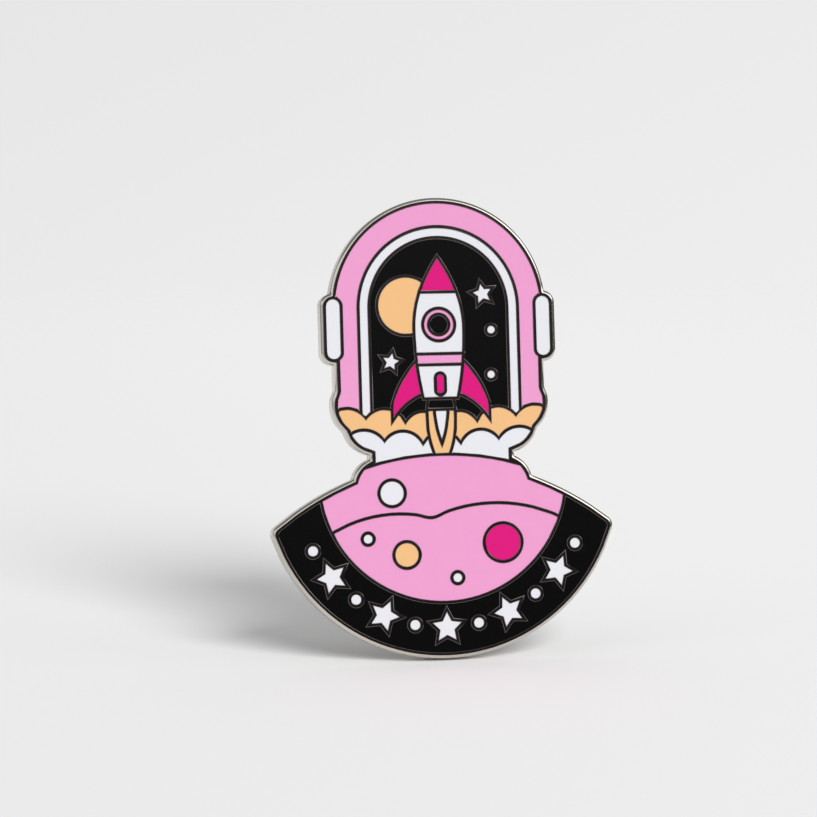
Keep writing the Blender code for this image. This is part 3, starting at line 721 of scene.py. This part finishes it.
def clutch_housing(node, body):
    """A clutch's cap: clinched feet, a window on each side for the wings and a hole for the post."""
    roof = HOUSING_DEPTH
    cap = rounded_block(HOUSING_HALF_WIDTH, HOUSING_HALF_HEIGHT, HOUSING_CORNER, 0, roof)
    crown = [e for e in cap.edges if all(v.co.y > roof - MERGE for v in e.verts)]
    bmesh.ops.bevel(cap, geom=crown, offset=HOUSING_CROWN, affect="EDGES", segments=CROWN_STEPS,
                    profile=0.5, material=-1)
    foot = rounded_block(HOUSING_FOOT_HALF, HOUSING_HALF_HEIGHT + HOUSING_FOOT, HOUSING_CORNER, 0,
                         HOUSING_WALL)
    cavity = rounded_block(HOUSING_HALF_WIDTH - HOUSING_WALL, HOUSING_HALF_HEIGHT - HOUSING_WALL,
                           HOUSING_CORNER - HOUSING_WALL / 2, -CUT_PAST, roof - HOUSING_WALL)
    window = rounded_block(HOUSING_HALF_WIDTH + CUT_PAST, WINDOW_HALF, WINDOW_CORNER, WINDOW_SILL,
                           WINDOW_SILL + WINDOW_HEIGHT)
    near, far = -CUT_PAST, roof + CUT_PAST
    bore = spun([(0, near), (BORE_RADIUS, near), (BORE_RADIUS, far), (0, far)], POST_STEPS, (0, 0, 0))
    bmesh.ops.recalc_face_normals(bore, faces=bore.faces)
    solid = cut_from(placed(cap), [("UNION", placed(foot)), ("DIFFERENCE", placed(cavity)),
                                   ("DIFFERENCE", placed(window)), ("DIFFERENCE", placed(bore))])
    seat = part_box(node)[0].y / MM
    bmesh.ops.translate(solid, verts=solid.verts, vec=(0, seat, middle(node).z))
    piece = finished("capped_" + node, solid, nickel, body, node)
    add_bevel(piece, HOUSING_EDGE)


def add_bevel(piece, width):
    """Breaks a piece's sharp edges, before its normals are weighted."""
    bevel = piece.modifiers.new("broken_edges", "BEVEL")
    bevel.width = width * MM
    bevel.segments = EDGE_STEPS
    bevel.limit_method = "ANGLE"
    bevel.angle_limit = SHARP_EDGE
    bevel.harden_normals = False
    piece.modifiers.move(len(piece.modifiers) - 1, 0)


def wing_half(share):
    """A wing's half-width: it widens from the jaw's, and rounds off at the tip."""
    round_share = WING_ROUND / (WING_END - WING_START).length
    widening = math.sin(min(1, share / (1 - round_share)) * math.pi / 2)
    rounded = max(0, (share - 1 + round_share) / round_share)
    tip_share = WING_TIP_HALF / WING_HALF
    half = JAW_HALF + (WING_HALF - JAW_HALF) * widening
    return half * math.sqrt(1 - (1 - tip_share ** 2) * rounded ** 2)


def sprung_jaw(node, side):
    """Half of a clutch's spring: a notched jaw, a pivot at the window and a wing for the finger."""
    inner = [(JAW_REACH - HINGE_X, -JAW_DROP), (JAW_FLAT_IN, 0), (JAW_FLAT_OUT, 0), tuple(WING_START)]
    path = softened(inner, JAW_BEND)
    halves = [JAW_HALF] * len(path)
    outwards = Vector((WING_END.y - WING_START.y, WING_START.x - WING_END.x)).normalized()
    for i in range(1, WING_SECTIONS + 1):
        share = i / WING_SECTIONS
        path.append(WING_START.lerp(WING_END, share) + outwards * WING_SWELL * math.sin(math.pi * share))
        halves.append(wing_half(share))
    solid = bmesh.new()
    bmesh.ops.create_grid(solid, x_segments=len(path) - 1, y_segments=JAW_COLUMNS, size=1)
    for vert in solid.verts:
        i = round((vert.co.x + 1) / 2 * (len(path) - 1))
        z = vert.co.y * halves[i]
        x, y = path[i]
        if i == 0:
            x = max(x, math.sqrt(max(0, JAW_NOTCH ** 2 - z * z)) - HINGE_X)
        vert.co = (side * x, y, z)
    bmesh.ops.recalc_face_normals(solid, faces=solid.faces)
    clutch = node.replace("_right_jaw", "").replace("_left_jaw", "")
    disc = clutch + "_disc"
    hinge = Vector((side * HINGE_X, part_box(disc)[0].y / MM + HINGE_RISE, middle(disc).z))
    bmesh.ops.translate(solid, verts=solid.verts, vec=hinge)
    piece = finished("sprung_" + node, solid, spring_steel, node, node)
    add_bevel(piece, JAW_EDGE)
    sheet = piece.modifiers.new("sheet", "SOLIDIFY")
    sheet.thickness = JAW_THICKNESS * MM
    sheet.offset = 0
    sheet.use_even_offset = True
    piece.modifiers.move(len(piece.modifiers) - 1, 0)


for place in ("upper", "lower"):
    clutch = place + "_clutch"
    wire_post(place + "_post")
    pressed_disc(clutch + "_disc", clutch)
    clutch_housing(clutch + "_housing", clutch)
    sprung_jaw(clutch + "_right_jaw", 1)
    sprung_jaw(clutch + "_left_jaw", -1)


# Studio

def make_floor():
    """A pale floor that the pin leans back on, painted darker to the left and lighter to the right as
    painted light falloff. It fades into the backdrop, and is clear from below.
    """
    solid = bmesh.new()
    bmesh.ops.create_grid(solid, x_segments=1, y_segments=1, size=FLOOR_FADE[1] * MM)
    bmesh.ops.rotate(solid, verts=solid.verts, matrix=Matrix.Rotation(math.radians(LEAN), 3, "X"))
    bmesh.ops.translate(solid, verts=solid.verts, vec=(0, 0, FLOOR_LEVEL * MM))
    mesh = bpy.data.meshes.new("floor")
    solid.to_mesh(mesh)
    solid.free()
    paint = Finish("floor_paint_and_painted_light")
    seen = paint.ray("Camera") + paint.ray("Glossy") + paint.ray("Transmission")
    x = paint.node("ShaderNodeSeparateXYZ", sockets={0: paint.place}, out="X")
    # Painted light: the floor's colour goes from darker on the left to lighter on the right
    painted_light_across = paint.ramp(x, *FLOOR_PAINTED_LIGHT_SPAN)
    away = paint.node("ShaderNodeVectorMath", {"operation": "LENGTH"}, {0: paint.place}, out="Value")
    below = paint.node("ShaderNodeNewGeometry", out="Backfacing")
    mesh.materials.append(paint.set(
        Base_Color=paint.mix(seen, FLOOR_BOUNCE, paint.mix(painted_light_across, FLOOR_PAINTED_SHADE_LEFT, FLOOR_PAINTED_LIGHT_RIGHT)),
        Alpha=(1 - paint.ramp(away, *FLOOR_FADE)) * (1 - below),
        Roughness=1.0,
        Specular_IOR_Level=0.0,
    ))
    floor = bpy.data.objects.new("floor", mesh)
    bpy.context.scene.collection.objects.link(floor)


def make_surround():
    """A backdrop painted dimmer at one end of a slope and brighter at the other, a painted light falloff,
    and a soft fill. Gloss shows pale walls, a dark front and a strip of light above.
    """
    world = bpy.data.worlds.new("surround")
    bpy.context.scene.world = world
    world.use_nodes = True
    room = Shade(world.node_tree)
    way = room.node("ShaderNodeTexCoord", out="Generated")
    x, y, z = (room.node("ShaderNodeSeparateXYZ", sockets={0: way}, out=axis) for axis in "XYZ")
    front = FRONT_GLOSS_LOW + (FRONT_GLOSS_HIGH - FRONT_GLOSS_LOW) * room.ramp(z, *FRONT_Z)
    above = room.ramp(z, *STRIP_FOOT_Z)
    left = (1 - room.ramp(x, *LEFT_X)) * (1 - room.ramp(y, *LEFT_Y)) * (1 - above)
    back = (1 - room.ramp(x, *BACK_X)) * room.ramp(y, *BACK_Y) * (1 - room.ramp(z, *BACK_Z))
    strip = (1 - room.ramp(x, *STRIP_X)) * (1 - room.ramp(y, *STRIP_Y)) * (1 - room.ramp(z, *STRIP_TOP_Z))
    light = STRIP_DIM + (STRIP_BRIGHT - STRIP_DIM) * room.ramp(x, *STRIP_BRIGHT_X)
    gloss = (front + LEFT_GLOSS * left + BACK_GLOSS * back
             + CEILING_GLOSS * room.ramp(z, *CEILING_Z) + strip * above * light)
    fill = FRONT_FILL + (WALL_FILL - FRONT_FILL) * room.ramp(y, *WALL_FILL_Y)
    # Painted light: the backdrop that the camera sees is dimmer at one end of a slope and brighter at the
    # other
    slope = room.ramp(room.along(way, BACKDROP_SLOPE), *BACKDROP_SPAN)
    backdrop = BACKDROP_DIM + (BACKDROP_BRIGHT - BACKDROP_DIM) * slope
    camera = room.ray("Camera") + room.ray("Transmission")
    glossy = room.ray("Glossy")
    background = room.tree.nodes["Background"]
    background.inputs["Color"].default_value = (1, 1, 1, 1)
    feed(room.tree, background.inputs["Strength"],
         camera * backdrop + glossy * gloss + (1 - camera - glossy) * fill)


def make_key():
    """The soft key lamp, in front and to the right."""
    key = bpy.data.lights.new("key", "SUN")
    key.energy = KEY_STRENGTH
    key.angle = math.radians(KEY_SPREAD)
    lamp = bpy.data.objects.new("key", key)
    lamp.rotation_euler = KEY_FROM.to_track_quat("Z", "Y").to_euler()
    lamp.visible_glossy = False
    bpy.context.scene.collection.objects.link(lamp)


def make_camera():
    """A camera at the photograph's viewing angle."""
    camera = bpy.data.cameras.new("camera")
    camera.sensor_width = SENSOR
    camera.lens = FOCAL_PIXELS / FRAME_PIXELS * SENSOR
    camera.clip_start = CLIP_START * MM
    yaw, pitch = math.radians(YAW), math.radians(PITCH)
    towards = Vector((-math.sin(yaw) * math.cos(pitch), -math.cos(yaw) * math.cos(pitch), math.sin(pitch)))
    turn = towards.to_track_quat("Z", "Y").to_matrix() @ Matrix.Rotation(math.radians(ROLL), 3, "Z")
    aim = turn @ Vector((-AIM_LEFT, AIM_UP, 0))
    item = bpy.data.objects.new("camera", camera)
    item.matrix_world = Matrix.Translation((aim + towards * DISTANCE) * MM) @ turn.to_4x4()
    bpy.context.scene.collection.objects.link(item)
    bpy.context.scene.camera = item


make_floor()
make_surround()
make_key()
make_camera()
bpy.context.scene.view_settings.view_transform = "Standard"
